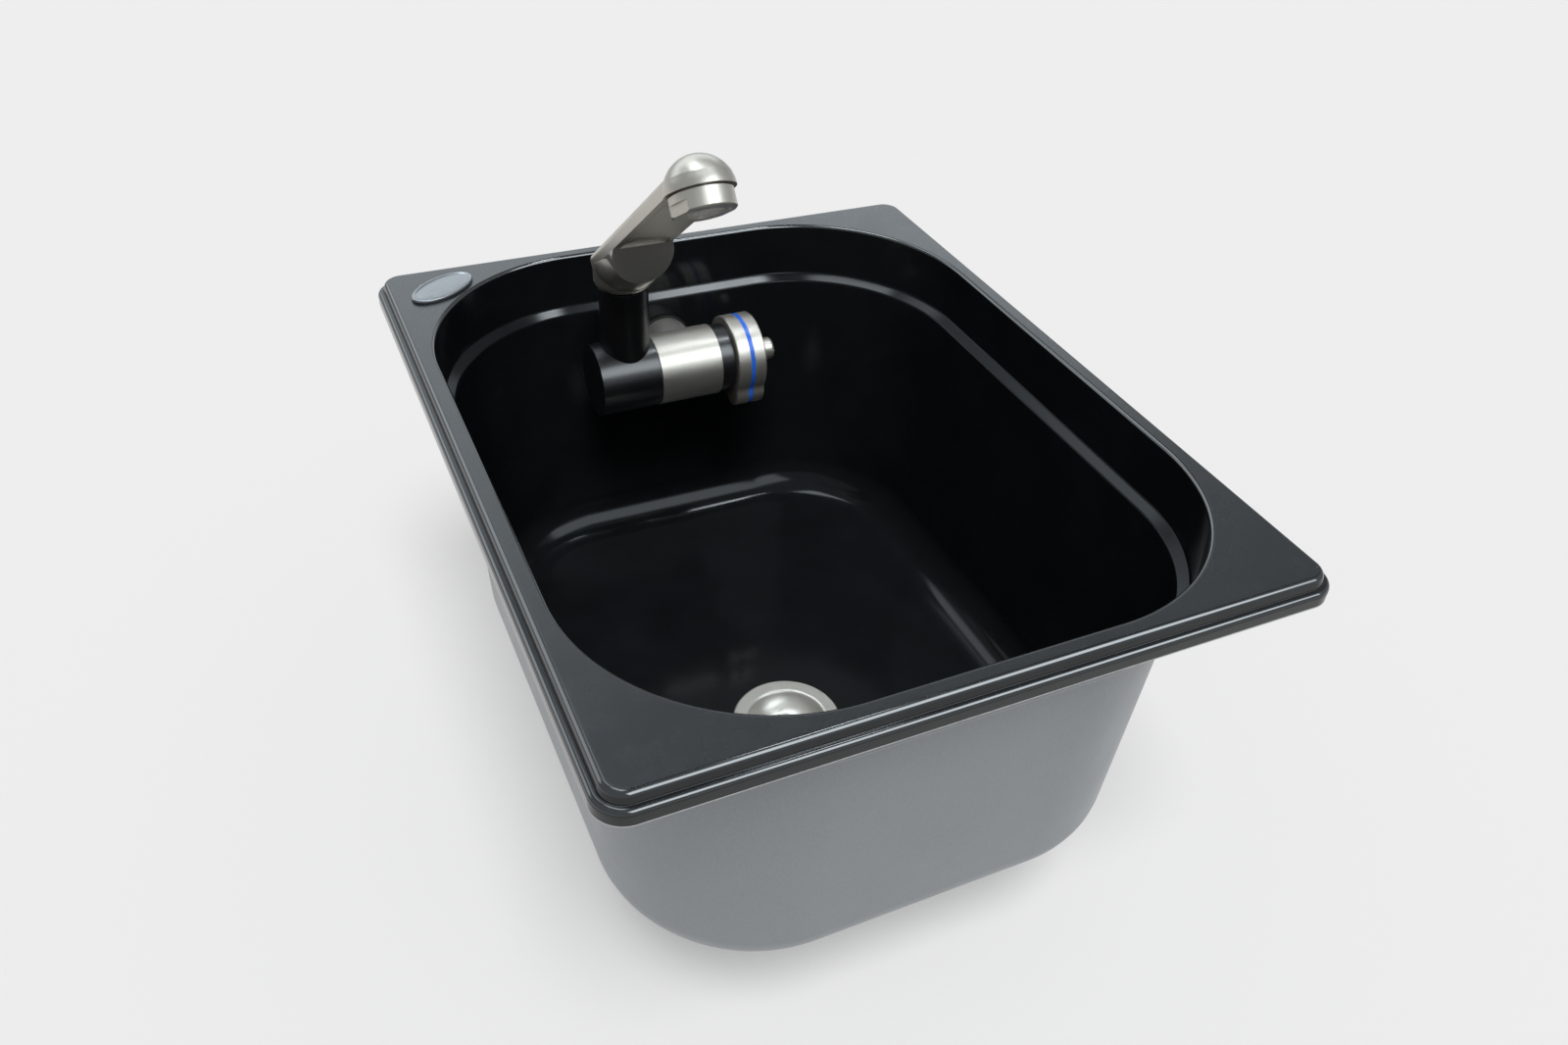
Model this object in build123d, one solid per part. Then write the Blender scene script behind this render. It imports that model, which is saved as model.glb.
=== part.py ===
from build123d import *
import math
import os

# Camping sink: a pressed basin that hangs by its rim, with a fold-down cold tap inside its rear wall.
# Millimetres, +Z up, +Y towards the tap wall. The origin is the centre of the rim's seating plane.

# Basin
RIM_LENGTH = 325.0
RIM_WIDTH = 265.0
BASIN_DEPTH = 150.0
SHEET = 1.2
RIM_HEIGHT = 10.0
RIM_CORNER_R = 11.0
RIM_STEP_DROP = 4.0
RIM_STEP_INSET = 3.5
RIM_STEP_SLOPE = 1.0
RIM_EDGE_R = 1.6
RIM_INNER_EDGE_R = 0.4
OPENING_LENGTH = 304.0
OPENING_WIDTH = 243.0
OPENING_CORNER_R = 75.0
LIP_R = 3.0
LIP_LAND = 0.6
SHOULDER_DEPTH = 25.0
SHOULDER_DROP = 2.5
SHOULDER_STEP = 4.5
SHOULDER_R = 2.0
UPPER_WALL_TAPER = 1.0
LOWER_WALL_TAPER = 7.5
FLOOR_BEND_R = 18.0

# Blank oval plate on the flange
PLATE_INSET_X = 26.0
PLATE_INSET_Y = 23.5
PLATE_LENGTH = 33.0
PLATE_WIDTH = 17.0
PLATE_THICK = 1.6
PLATE_TURN = 33.0

# Waste fitting
DRAIN_X = -8.0
DRAIN_Y = -29.0
DRAIN_FLANGE_R = 24.2
DRAIN_FLANGE_THICK = 1.8
DRAIN_EDGE_R = 0.8
DRAIN_MOUTH_R = 17.4
DRAIN_LIP_R = 2.0
DRAIN_DISH_DEPTH = 6.0
DRAIN_SHELL = 1.0
DRAIN_HOLE_CLEAR = 3.0
DRAIN_SEAL_THICK = 1.0
DRAIN_SLOT_COUNT = 8
DRAIN_SLOT_R = 1.7
DRAIN_SLOT_REACH = 7.4
GASKET_THICK = 2.5
GASKET_WIDTH = 7.0
CUP_WALL = 2.5
CUP_DEPTH = 16.0
CUP_FLANGE_THICK = 3.0
OUTLET_R = 12.5
OUTLET_BORE_R = 10.0
OUTLET_LENGTH = 28.0
OUTLET_BEAD = 0.8
SPIDER_BOSS_R = 6.0
SPIDER_BOSS_LENGTH = 9.0
SPIDER_ARM = 3.0
INSERT_R = 4.2
SCREW_R = 3.0
SCREW_HEAD_R = 5.0
SCREW_HEAD_THICK = 6.4
SCREW_HEAD_CROWN = 1.6
SCREW_SLOT = 1.2
SCREW_SLOT_DEPTH = 1.4

# Tap on the wall
TAP_X = -1.5
TAP_DEPTH = 49.3
TAP_REACH = 27.0
STUD_R = 12.5
STUD_SEAT = 12.0
STUD_NOSE_R = 4.0
STUD_NOSE_LENGTH = 5.0
STUD_THREAD_R = 8.0
STUD_THREAD_LENGTH = 15.0
STUD_BORE_R = 3.0
INLET_R = 5.0
INLET_LENGTH = 18.0
WALL_HOLE_CLEAR = 0.4
WALL_SEAL_R = 13.5
WALL_SEAL_THICK = 1.5
WASHER_R = 14.0
WASHER_THICK = 1.5
LOCK_NUT_FLATS = 24.0
LOCK_NUT_THICK = 6.0

# Tap barrel, measured along X
SLEEVE_LEFT = -17.4
SLEEVE_RIGHT = 12.8
SLEEVE_R = 16.9
BODY_R = 13.7
COLLAR_WIDTH = 6.9
COLLAR_R = 16.2
ELBOW_LEFT = -46.0
ELBOW_R = 16.9
FOLD_SPIGOT_R = 9.0
FOLD_BORE_R = 4.5
FOLD_NUT_R = 11.5
FOLD_NUT_THICK = 3.0
FOLD_CAP_THICK = 2.0
FOLD_CAP_R = 13.0

# Valve cartridge
CARTRIDGE_R = 8.0
CARTRIDGE_CHAMBER_R = 10.5
CARTRIDGE_WALL = 1.5
CARTRIDGE_NECK_R = 7.0
CARTRIDGE_FLANGE = 2.0
SEAT_SEAL_THICK = 1.5
DISC_THICK = 2.4
DISC_PORT_R = 1.8
DISC_PORT_OFFSET = 3.4
SPINDLE_R = 4.0
SPINDLE_HEAD_R = 6.0
SPINDLE_HEAD_THICK = 2.2
INLET_CHAMBER_R = 6.0
INLET_CHAMBER_LENGTH = 9.0
OUTLET_DUCT_R = 1.1
OUTLET_DUCT_OFFSET = 9.25
WATER_GROOVE_DEPTH = 1.5
WATER_PORT_R = 2.5

# Knob
KNOB_R = 19.6
KNOB_WIDTH = 14.4
KNOB_LOBE_REACH = 24.3
KNOB_LOBE_R = 8.0
KNOB_LOBE_BLEND = 6.0
KNOB_LOBE_TURN = 35.0
KNOB_EDGE_R = 0.8
KNOB_RING_WIDTH = 2.1
KNOB_RING_DEPTH = 1.2
KNOB_RING_PLACE = 7.4
KNOB_GRIP_DEPTH = 8.0
KNOB_WEB = 3.0
KNOB_SCREW_R = 2.0
KNOB_SCREW_LENGTH = 9.0
KNOB_SCREW_HEAD_R = 3.6
KNOB_SCREW_HEAD_THICK = 2.2
KNOB_CAP_R = 5.4
KNOB_CAP_REACH = 10.5
KNOB_CAP_PLUG = 1.0

# Elbow post and spout
POST_X = -30.3
POST_R = 11.4
POST_TOP = 9.5
NECK_GAP = 0.3
NECK_R = 13.2
NECK_EDGE_R = 3.5
STEM_R = 8.0
STEM_BORE_R = 4.0
STEM_DROP = 28.0
STEM_SOCKET = 7.0
STEM_GROOVE_DEPTH = 2.0
STEM_GROOVE_DROP = 20.0
STOP_PIN_R = 1.5
SWIVEL_EACH_WAY = 40.0
ARM_TILT = 38.0
ARM_LENGTH = 118.0
ARM_THICK = 7.0
ARM_ROOT_R = 13.4
ARM_HEAD_R = 12.9
ARM_EDGE_R = 3.0
ARM_LIP_OVER_POST = 9.9
HEAD_R = 13.6
KNUCKLE_R = 15.6
KNUCKLE_FORWARD = 8.0
KNUCKLE_LIFT = 2.0
CHIN_R = 13.8
CHIN_FORWARD = 29.0
CHIN_LIFT = 28.5
CHANNEL_WIDTH = 12.0
CHANNEL_DEPTH = 3.0
HEAD_DUCT_R = 1.2
UNDERPLATE_WIDTH = 20.0
UNDERPLATE_THICK = 2.0
UNDERPLATE_END = 13.2
UNDERPLATE_POCKET_R = 12.0
UNDERPLATE_POCKET_DEPTH = 1.2

# Aerator
AERATOR_R = 12.2
AERATOR_HEIGHT = 7.3
AERATOR_SHADOW_GAP = 0.6
AERATOR_THREAD_R = 9.6
AERATOR_THREAD_LENGTH = 3.5
AERATOR_BORE_R = 8.2
AERATOR_EDGE_R = 0.6
AERATOR_FLAT_DEPTH = 1.1
AERATOR_FLAT_HEIGHT = 4.2
AERATOR_FLAT_TURN = 20.0
AERATOR_SEAL_THICK = 1.0
AERATOR_CHAMBER_R = 6.0
AERATOR_CHAMBER_HEIGHT = 4.0
AERATOR_LEDGE = 1.0
INSERT_RECESS = 1.0
INSERT_THICK = 6.0
INSERT_HOLE_R = 0.75
INSERT_RING_COUNT = 3
INSERT_RING_STEP = 2.1

# Clearances and small seals
RUNNING_FIT = 0.05
THREAD_FIT = 0.05
END_GAP = 0.3
ORING_R = 1.1
SPINDLE_ORING_R = 0.8
ORING_SEAT = 0.1

# Places that follow from the sizes
RIM_TOP = RIM_HEIGHT
FLOOR_TOP = RIM_TOP - BASIN_DEPTH + SHEET
FLOOR_BOTTOM = RIM_TOP - BASIN_DEPTH
CORE_X = OPENING_WIDTH / 2 - OPENING_CORNER_R
CORE_Y = OPENING_LENGTH / 2 - OPENING_CORNER_R
SHOULDER_TOP_R = OPENING_CORNER_R - UPPER_WALL_TAPER
WALL_TOP_R = SHOULDER_TOP_R - SHOULDER_STEP
WALL_FOOT_R = WALL_TOP_R - LOWER_WALL_TAPER
WALL_TOP_Z = RIM_TOP - SHOULDER_DEPTH - SHOULDER_DROP
WALL_SLOPE = LOWER_WALL_TAPER / (WALL_TOP_Z - FLOOR_TOP)
WALL_TILT = math.atan(WALL_SLOPE)
WALL_NORMAL_THICK = SHEET * math.cos(WALL_TILT)
TAP_HOLE_Z = RIM_TOP - TAP_DEPTH
TAP_HOLE_Y = CORE_Y + WALL_TOP_R - (WALL_TOP_Z - TAP_HOLE_Z) * WALL_SLOPE
BARREL_Y = TAP_HOLE_Y - TAP_REACH * math.cos(WALL_TILT)
BARREL_Z = TAP_HOLE_Z + TAP_REACH * math.sin(WALL_TILT)
COLLAR_RIGHT = SLEEVE_RIGHT + COLLAR_WIDTH
KNOB_LEFT = COLLAR_RIGHT + END_GAP
KNOB_RIGHT = KNOB_LEFT + KNOB_WIDTH
SEAT_LEFT = TAP_X + INLET_CHAMBER_LENGTH / 2
DISC_RIGHT = SEAT_LEFT + SEAT_SEAL_THICK + 2 * DISC_THICK
DRAIN_HOLE_R = DRAIN_MOUTH_R + DRAIN_HOLE_CLEAR
FLANGE_SEAT_Z = FLOOR_TOP + DRAIN_SEAL_THICK
DISH_FLOOR_Z = FLANGE_SEAT_Z - DRAIN_DISH_DEPTH
CUP_TOP_Z = FLOOR_BOTTOM - GASKET_THICK
CUP_FLOOR_Z = CUP_TOP_Z - CUP_DEPTH
NECK_BOTTOM = POST_TOP + NECK_GAP
CHIN_X = CHIN_FORWARD / math.cos(math.radians(ARM_TILT))

# The wall's outward normal, the barrel's axis, the swivel axis and the arm's underside
WALL = Plane(
    origin=(TAP_X, TAP_HOLE_Y, TAP_HOLE_Z),
    x_dir=(1, 0, 0),
    z_dir=(0, math.cos(WALL_TILT), -math.sin(WALL_TILT)),
)
BARREL = Plane(origin=(0, BARREL_Y, BARREL_Z), x_dir=(0, 0, 1), z_dir=(1, 0, 0))
POST = Plane(origin=(POST_X, BARREL_Y, 0), x_dir=(1, 0, 0), z_dir=(0, 0, 1))
ARM = Plane(
    origin=(POST_X, BARREL_Y, POST_TOP + ARM_LIP_OVER_POST),
    x_dir=(0, -math.cos(math.radians(ARM_TILT)), math.sin(math.radians(ARM_TILT))),
    z_dir=(0, math.sin(math.radians(ARM_TILT)), math.cos(math.radians(ARM_TILT))),
)
HEAD = ARM * Pos(ARM_LENGTH, 0, 0)
DRAIN = Pos(DRAIN_X, DRAIN_Y, 0)


def turned(*points):
    """A full turn of the (radius, height) outline about local Z."""
    return revolve(make_face(Polyline(*[(r, 0, z) for r, z in points], close=True)), Axis.Z, 360)


def rod(radius, low, high):
    """A round bar along local Z between two heights."""
    return Pos(0, 0, low) * Cylinder(radius, high - low, align=(Align.CENTER, Align.CENTER, Align.MIN))


def tube(inner, outer, low, high):
    """A round tube along local Z between two heights."""
    return rod(outer, low, high) - rod(inner, low, high)


def oring(bore_radius, thick, height):
    """An O-ring of that section seated on a shaft, just clear of the bore it seals."""
    return Pos(0, 0, height) * Torus(bore_radius - RUNNING_FIT - thick, thick)


def oring_groove(bore_radius, thick, height):
    """The groove that an O-ring of that section lies in, cut out of its shaft."""
    floor_radius = bore_radius - RUNNING_FIT - 2 * thick
    half_width = thick + ORING_SEAT
    return tube(floor_radius, bore_radius + thick, height - half_width, height + half_width)


def framed(profile, half_x, half_y):
    """A section carried round a rounded rectangle whose corner centres lie at half_x, half_y."""
    ring = Part()
    for turn, (x, y) in enumerate(((1, 1), (-1, 1), (-1, -1), (1, -1))):
        corner = Pos(x * half_x, y * half_y, 0) * Rot(0, 0, 90 * turn)
        run = 2 * half_x if turn % 2 else 2 * half_y
        ring += corner * revolve(profile, Axis.Z, 90)
        ring += corner * extrude(profile, amount=run, dir=(0, -1, 0))
    return ring


def section(points, rounded):
    """A filled outline in the XZ plane, with the corners in rounded given their radii."""
    face = make_face(Polyline(*[(r, 0, z) for r, z in points], close=True))
    for index, radius in rounded.items():
        r, z = points[index]
        corner = face.vertices().sort_by_distance((r, 0, z))[0]
        face = fillet(corner, radius)
    return face


def basin():
    """The pressed pan: walls with a stacking shoulder, floor, flat flange and stepped rim."""
    lip_r = OPENING_CORNER_R + LIP_R + LIP_LAND
    wall_points = [
        (lip_r, RIM_TOP),
        (OPENING_CORNER_R, RIM_TOP),
        (SHOULDER_TOP_R, RIM_TOP - SHOULDER_DEPTH),
        (WALL_TOP_R, WALL_TOP_Z),
        (WALL_FOOT_R, FLOOR_TOP),
        (0, FLOOR_TOP),
        (0, FLOOR_BOTTOM),
        (WALL_FOOT_R + SHEET - SHEET * WALL_SLOPE, FLOOR_BOTTOM),
        (WALL_TOP_R + SHEET - SHEET / 2 * WALL_SLOPE, WALL_TOP_Z - SHEET / 2),
        (SHOULDER_TOP_R + SHEET, RIM_TOP - SHOULDER_DEPTH - SHEET / 2),
        (OPENING_CORNER_R + SHEET, RIM_TOP - SHEET),
        (lip_r, RIM_TOP - SHEET),
    ]
    wall_bends = {
        1: LIP_R,
        2: SHOULDER_R,
        3: SHOULDER_R,
        4: FLOOR_BEND_R,
        7: FLOOR_BEND_R + SHEET,
        8: SHOULDER_R,
        9: SHOULDER_R,
        10: LIP_R - SHEET,
    }
    pan = framed(section(wall_points, wall_bends), CORE_X, CORE_Y)
    floor_height = (FLOOR_TOP + FLOOR_BOTTOM) / 2
    pan += Pos(0, 0, floor_height) * Box(2 * CORE_X, 2 * CORE_Y, SHEET)

    flat_r = RIM_CORNER_R - RIM_STEP_INSET
    ledge_z = RIM_TOP - RIM_STEP_DROP
    rim_points = [
        (0, RIM_TOP),
        (flat_r, RIM_TOP),
        (flat_r + RIM_STEP_SLOPE, ledge_z),
        (RIM_CORNER_R, ledge_z),
        (RIM_CORNER_R, 0),
        (RIM_CORNER_R - SHEET, 0),
        (RIM_CORNER_R - SHEET, ledge_z - SHEET),
        (flat_r + RIM_STEP_SLOPE - SHEET, ledge_z - SHEET),
        (flat_r - SHEET, RIM_TOP - SHEET),
        (0, RIM_TOP - SHEET),
    ]
    rim_bends = {
        1: RIM_EDGE_R,
        2: RIM_INNER_EDGE_R,
        3: RIM_EDGE_R,
        6: RIM_INNER_EDGE_R,
        7: RIM_EDGE_R,
        8: RIM_INNER_EDGE_R,
    }
    rim_x = RIM_WIDTH / 2 - RIM_CORNER_R
    rim_y = RIM_LENGTH / 2 - RIM_CORNER_R
    flange = framed(section(rim_points, rim_bends), rim_x, rim_y)
    flange += Pos(0, 0, RIM_TOP - SHEET / 2) * Box(2 * rim_x, 2 * rim_y, SHEET)
    mouth = RectangleRounded(2 * (CORE_X + lip_r), 2 * (CORE_Y + lip_r), lip_r)
    flange -= Pos(0, 0, RIM_TOP - SHEET) * extrude(mouth, SHEET)
    pan += flange
    pan -= DRAIN * rod(DRAIN_HOLE_R, FLOOR_BOTTOM - SHEET, FLOOR_TOP + SHEET)
    pan -= WALL * rod(STUD_THREAD_R + WALL_HOLE_CLEAR, -SHEET, 2 * SHEET)
    return pan


def oval_plate():
    """The blank domed oval on the flange's rear corner."""
    plate = extrude(Ellipse(PLATE_LENGTH / 2, PLATE_WIDTH / 2), PLATE_THICK)
    plate = chamfer(plate.faces().sort_by(Axis.Z)[-1].edges(), PLATE_THICK / 2)
    corner = Pos(PLATE_INSET_X - RIM_WIDTH / 2, RIM_LENGTH / 2 - PLATE_INSET_Y, RIM_TOP)
    return corner * Rot(0, 0, PLATE_TURN) * plate


def drain_strainer():
    """The bright waste flange with its dished, slotted strainer."""
    top = FLANGE_SEAT_Z + DRAIN_FLANGE_THICK
    dish_top = DISH_FLOOR_Z + DRAIN_SHELL
    rim = Polyline(
        (DRAIN_MOUTH_R, 0, FLANGE_SEAT_Z),
        (DRAIN_FLANGE_R, 0, FLANGE_SEAT_Z),
        (DRAIN_FLANGE_R, 0, top - DRAIN_EDGE_R),
        (DRAIN_FLANGE_R - DRAIN_EDGE_R, 0, top),
        (DRAIN_MOUTH_R, 0, top),
    )
    seat = Polyline(
        (SCREW_HEAD_R, 0, dish_top),
        (0, 0, dish_top),
        (0, 0, DISH_FLOOR_Z),
        (SCREW_HEAD_R, 0, DISH_FLOOR_Z),
    )
    inside = TangentArc(seat @ 0, rim @ 1, tangent=(1, 0, 0))
    outside = TangentArc(seat @ 1, rim @ 0, tangent=(1, 0, 0))
    dish = revolve(make_face(rim + inside + seat + outside), Axis.Z, 360)
    mouth = dish.faces().sort_by(Axis.Z)[-1].edges().sort_by(SortBy.RADIUS)[0]
    dish = fillet(mouth, DRAIN_LIP_R)
    dish -= rod(SCREW_R + THREAD_FIT, DISH_FLOOR_Z, dish_top)
    for place in PolarLocations(DRAIN_SLOT_REACH, DRAIN_SLOT_COUNT):
        dish -= place * rod(DRAIN_SLOT_R, DISH_FLOOR_Z, top)
    return DRAIN * dish


def drain_seal():
    """The flat ring between the waste flange and the floor."""
    return DRAIN * tube(DRAIN_HOLE_R, DRAIN_FLANGE_R - DRAIN_EDGE_R, FLOOR_TOP, FLANGE_SEAT_Z)


def drain_gasket():
    """The thick ring between the floor's underside and the outlet body."""
    return DRAIN * tube(DRAIN_HOLE_R, DRAIN_HOLE_R + GASKET_WIDTH, CUP_TOP_Z, FLOOR_BOTTOM)


def drain_body():
    """The outlet cup with its screw boss on three arms and its hose spigot."""
    bore_r = DRAIN_HOLE_R
    shell_r = bore_r + CUP_WALL
    foot = CUP_FLOOR_Z - CUP_WALL
    tip = foot - OUTLET_LENGTH
    cup = turned(
        (OUTLET_BORE_R, CUP_FLOOR_Z),
        (bore_r, CUP_FLOOR_Z + CUP_WALL),
        (bore_r, CUP_TOP_Z),
        (bore_r + GASKET_WIDTH, CUP_TOP_Z),
        (bore_r + GASKET_WIDTH, CUP_TOP_Z - CUP_FLANGE_THICK),
        (shell_r, CUP_TOP_Z - CUP_FLANGE_THICK),
        (shell_r, CUP_FLOOR_Z),
        (shell_r - CUP_WALL, foot),
        (OUTLET_R, foot),
        (OUTLET_R, tip + OUTLET_BEAD),
        (OUTLET_R - OUTLET_BEAD, tip),
        (OUTLET_BORE_R, tip),
    )
    boss_top = CUP_TOP_Z - CUP_FLANGE_THICK
    boss_foot = boss_top - SPIDER_BOSS_LENGTH
    arm_length = bore_r + CUP_WALL / 2
    for place in PolarLocations(0, 3):
        arm = Box(arm_length, SPIDER_ARM, SPIDER_BOSS_LENGTH, align=(Align.MIN, Align.CENTER, Align.MIN))
        cup += place * Pos(0, 0, boss_foot) * arm
    cup += rod(SPIDER_BOSS_R, boss_foot, boss_top)
    cup -= rod(INSERT_R, boss_foot, boss_top)
    return DRAIN * cup


def drain_insert():
    """The threaded insert in the outlet body's boss."""
    top = CUP_TOP_Z - CUP_FLANGE_THICK
    return DRAIN * tube(SCREW_R + THREAD_FIT, INSERT_R, top - SPIDER_BOSS_LENGTH, top)


def drain_screw():
    """The slotted screw that clamps the strainer to the outlet body."""
    seat = DISH_FLOOR_Z + DRAIN_SHELL
    tip = CUP_TOP_Z - CUP_FLANGE_THICK - SPIDER_BOSS_LENGTH
    head_top = seat + SCREW_HEAD_THICK
    screw = turned(
        (0, tip),
        (SCREW_R, tip),
        (SCREW_R, seat),
        (SCREW_HEAD_R, seat),
        (SCREW_HEAD_R, head_top - SCREW_HEAD_CROWN),
        (SCREW_HEAD_R - SCREW_HEAD_CROWN, head_top),
        (0, head_top),
    )
    screw -= Pos(0, 0, head_top) * Box(2 * SCREW_HEAD_R, SCREW_SLOT, 2 * SCREW_SLOT_DEPTH)
    return DRAIN * screw


def wall_stud():
    """The hollow stud that carries the tap, with its thread and hose spigot behind the wall."""
    seat = STUD_SEAT - TAP_REACH
    nose = seat - STUD_NOSE_LENGTH
    thread_end = STUD_THREAD_LENGTH
    tip = thread_end + INLET_LENGTH
    return WALL * turned(
        (STUD_BORE_R, nose),
        (STUD_NOSE_R, nose),
        (STUD_NOSE_R, seat),
        (STUD_R, seat),
        (STUD_R, -WALL_SEAL_THICK),
        (STUD_THREAD_R, -WALL_SEAL_THICK),
        (STUD_THREAD_R, thread_end),
        (INLET_R, thread_end),
        (INLET_R, tip),
        (STUD_BORE_R, tip),
    )


def wall_ring(outer, low, thick):
    """A flat ring round the stud's thread."""
    return WALL * tube(STUD_THREAD_R + WALL_HOLE_CLEAR, outer, low, low + thick)


def lock_nut():
    """The hexagon nut behind the wall."""
    low = WALL_NORMAL_THICK + WALL_SEAL_THICK + WASHER_THICK
    nut = extrude(RegularPolygon(LOCK_NUT_FLATS / 2, 6, major_radius=False), LOCK_NUT_THICK)
    return WALL * Pos(0, 0, low) * (nut - rod(STUD_THREAD_R + THREAD_FIT, 0, LOCK_NUT_THICK))


def valve_body():
    """The tap's inner body, with the fold spigot, the cartridge chamber and the water ways."""
    chamber_left = TAP_X - INLET_CHAMBER_LENGTH / 2
    spigot_end = ELBOW_LEFT + FOLD_CAP_THICK + END_GAP
    bore_end = SLEEVE_LEFT + FOLD_SPIGOT_R / 2
    body = rod(BODY_R, SLEEVE_LEFT, SLEEVE_RIGHT) + rod(FOLD_SPIGOT_R, spigot_end, SLEEVE_LEFT)
    body -= rod(CARTRIDGE_CHAMBER_R, SEAT_LEFT, SLEEVE_RIGHT)
    body -= rod(INLET_CHAMBER_R, chamber_left, SEAT_LEFT)
    body -= rod(FOLD_BORE_R, spigot_end + FOLD_NUT_THICK, bore_end)
    cross_x = bore_end - 2 * OUTLET_DUCT_R
    body -= Pos(-OUTLET_DUCT_OFFSET, 0, 0) * rod(OUTLET_DUCT_R, cross_x, SEAT_LEFT)
    body -= Pos(0, 0, cross_x) * Rot(0, -90, 0) * rod(OUTLET_DUCT_R, 0, OUTLET_DUCT_OFFSET)
    groove_r = FOLD_SPIGOT_R - WATER_GROOVE_DEPTH
    body -= tube(groove_r, BODY_R, POST_X - STEM_BORE_R, POST_X + STEM_BORE_R)
    for turn in range(4):
        port = Rot(0, 0, 90 * turn) * Rot(0, 90, 0) * rod(WATER_PORT_R, 0, FOLD_SPIGOT_R)
        body -= Pos(0, 0, POST_X) * port
    for height in fold_seal_places():
        body -= oring_groove(FOLD_SPIGOT_R + RUNNING_FIT, ORING_R, height)
    body = BARREL * body
    seat = STUD_SEAT - TAP_REACH
    body -= WALL * rod(STUD_R + THREAD_FIT, seat, seat + BODY_R)
    body -= WALL * rod(STUD_NOSE_R, seat - STUD_NOSE_LENGTH, seat)
    body -= WALL * rod(STUD_BORE_R, -TAP_REACH, seat)
    return body


def fold_seal_places():
    """Where the two O-rings lie on the fold spigot, either side of the post."""
    reach = STEM_BORE_R + 2 * ORING_R + 1.5
    return POST_X - reach, POST_X + reach


def body_sleeve():
    """The brushed sleeve over the valve body, drilled for the stud."""
    sleeve = BARREL * tube(BODY_R, SLEEVE_R, SLEEVE_LEFT, SLEEVE_RIGHT)
    return sleeve - WALL * rod(STUD_R + THREAD_FIT, -TAP_REACH, 0)


def collar_ring():
    """The black bonnet ring that holds the cartridge in the valve body."""
    return BARREL * tube(CARTRIDGE_NECK_R, COLLAR_R, SLEEVE_RIGHT, COLLAR_RIGHT)


def cartridge_shell():
    """The cartridge's case, with two side windows and the spindle's bearing."""
    left = SEAT_LEFT + SEAT_SEAL_THICK
    head_right = DISC_RIGHT + SPINDLE_HEAD_THICK + END_GAP
    inner_r = CARTRIDGE_R - CARTRIDGE_WALL
    shell = rod(CARTRIDGE_R, left, SLEEVE_RIGHT) + rod(CARTRIDGE_NECK_R, SLEEVE_RIGHT, COLLAR_RIGHT)
    shell += rod(CARTRIDGE_CHAMBER_R, SLEEVE_RIGHT - CARTRIDGE_FLANGE, SLEEVE_RIGHT)
    shell -= rod(inner_r, left, head_right)
    shell -= rod(SPINDLE_R + RUNNING_FIT, head_right, COLLAR_RIGHT)
    window = Box(DISC_THICK, 4 * CARTRIDGE_R, DISC_THICK)
    return BARREL * (shell - Pos(0, 0, DISC_RIGHT) * window)


def cartridge_seal():
    """The rubber seat between the inlet chamber and the fixed disc."""
    return BARREL * tube(INLET_CHAMBER_R, CARTRIDGE_R, SEAT_LEFT, SEAT_LEFT + SEAT_SEAL_THICK)


def valve_disc(right, clear, port_turn):
    """One ceramic disc with its pair of ports."""
    disc = rod(CARTRIDGE_R - CARTRIDGE_WALL - clear, right - DISC_THICK, right)
    for turn in (0, 180):
        port = rod(DISC_PORT_R, right - DISC_THICK, right)
        disc -= Rot(0, 0, port_turn + turn) * Pos(DISC_PORT_OFFSET, 0, 0) * port
    return BARREL * disc


def spindle():
    """The spindle that the knob turns, with its head on the turning disc."""
    tip = KNOB_LEFT + KNOB_GRIP_DEPTH
    shaft = rod(SPINDLE_HEAD_R, DISC_RIGHT, DISC_RIGHT + SPINDLE_HEAD_THICK)
    shaft += rod(SPINDLE_R, DISC_RIGHT, tip)
    shaft -= rod(KNOB_SCREW_R + THREAD_FIT, tip - KNOB_SCREW_LENGTH, tip)
    groove = oring_groove(SPINDLE_R + RUNNING_FIT, SPINDLE_ORING_R, spindle_seal_place())
    return BARREL * (shaft - groove)


def spindle_seal_place():
    """Where the O-ring lies on the spindle, inside the cartridge's neck."""
    return SLEEVE_RIGHT + COLLAR_WIDTH / 3


def spindle_oring():
    """The O-ring on the spindle."""
    return BARREL * oring(SPINDLE_R + RUNNING_FIT, SPINDLE_ORING_R, spindle_seal_place())


def knob_slice(grown, width):
    """A slice of the knob: round, with one lobe that points forward and down and flows into the round."""
    lobe_place = Rot(0, 0, -KNOB_LOBE_TURN) * Pos(KNOB_LOBE_R - KNOB_LOBE_REACH, 0)
    slab = rod(KNOB_R + grown, 0, width) + lobe_place * rod(KNOB_LOBE_R + grown, 0, width)
    throats = slab.edges().filter_by(Axis.Z).sort_by_distance(lobe_place.position)[:2]
    return fillet(throats, KNOB_LOBE_BLEND - grown)


def knob_blank():
    """The knob before its ring is let in."""
    blank = knob_slice(0, KNOB_WIDTH)
    ends = blank.faces().sort_by(Axis.Z)
    return fillet(ends[0].edges() + ends[-1].edges(), KNOB_EDGE_R)


def knob_band():
    """The band that the coloured ring takes up round the knob's edge."""
    band = knob_slice(KNOB_RING_DEPTH, KNOB_RING_WIDTH) - knob_slice(-KNOB_RING_DEPTH, KNOB_RING_WIDTH)
    return Pos(0, 0, KNOB_RING_PLACE - KNOB_RING_WIDTH / 2) * band


def knob():
    """The brushed knob, bored for the spindle, its screw and its cap."""
    body = knob_blank() - knob_band()
    body -= rod(SPINDLE_R, 0, KNOB_GRIP_DEPTH)
    body -= rod(KNOB_SCREW_R + THREAD_FIT, 0, KNOB_WIDTH)
    body -= rod(KNOB_CAP_R, KNOB_GRIP_DEPTH + KNOB_WEB, KNOB_WIDTH)
    return BARREL * Pos(0, 0, KNOB_LEFT) * body


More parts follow.
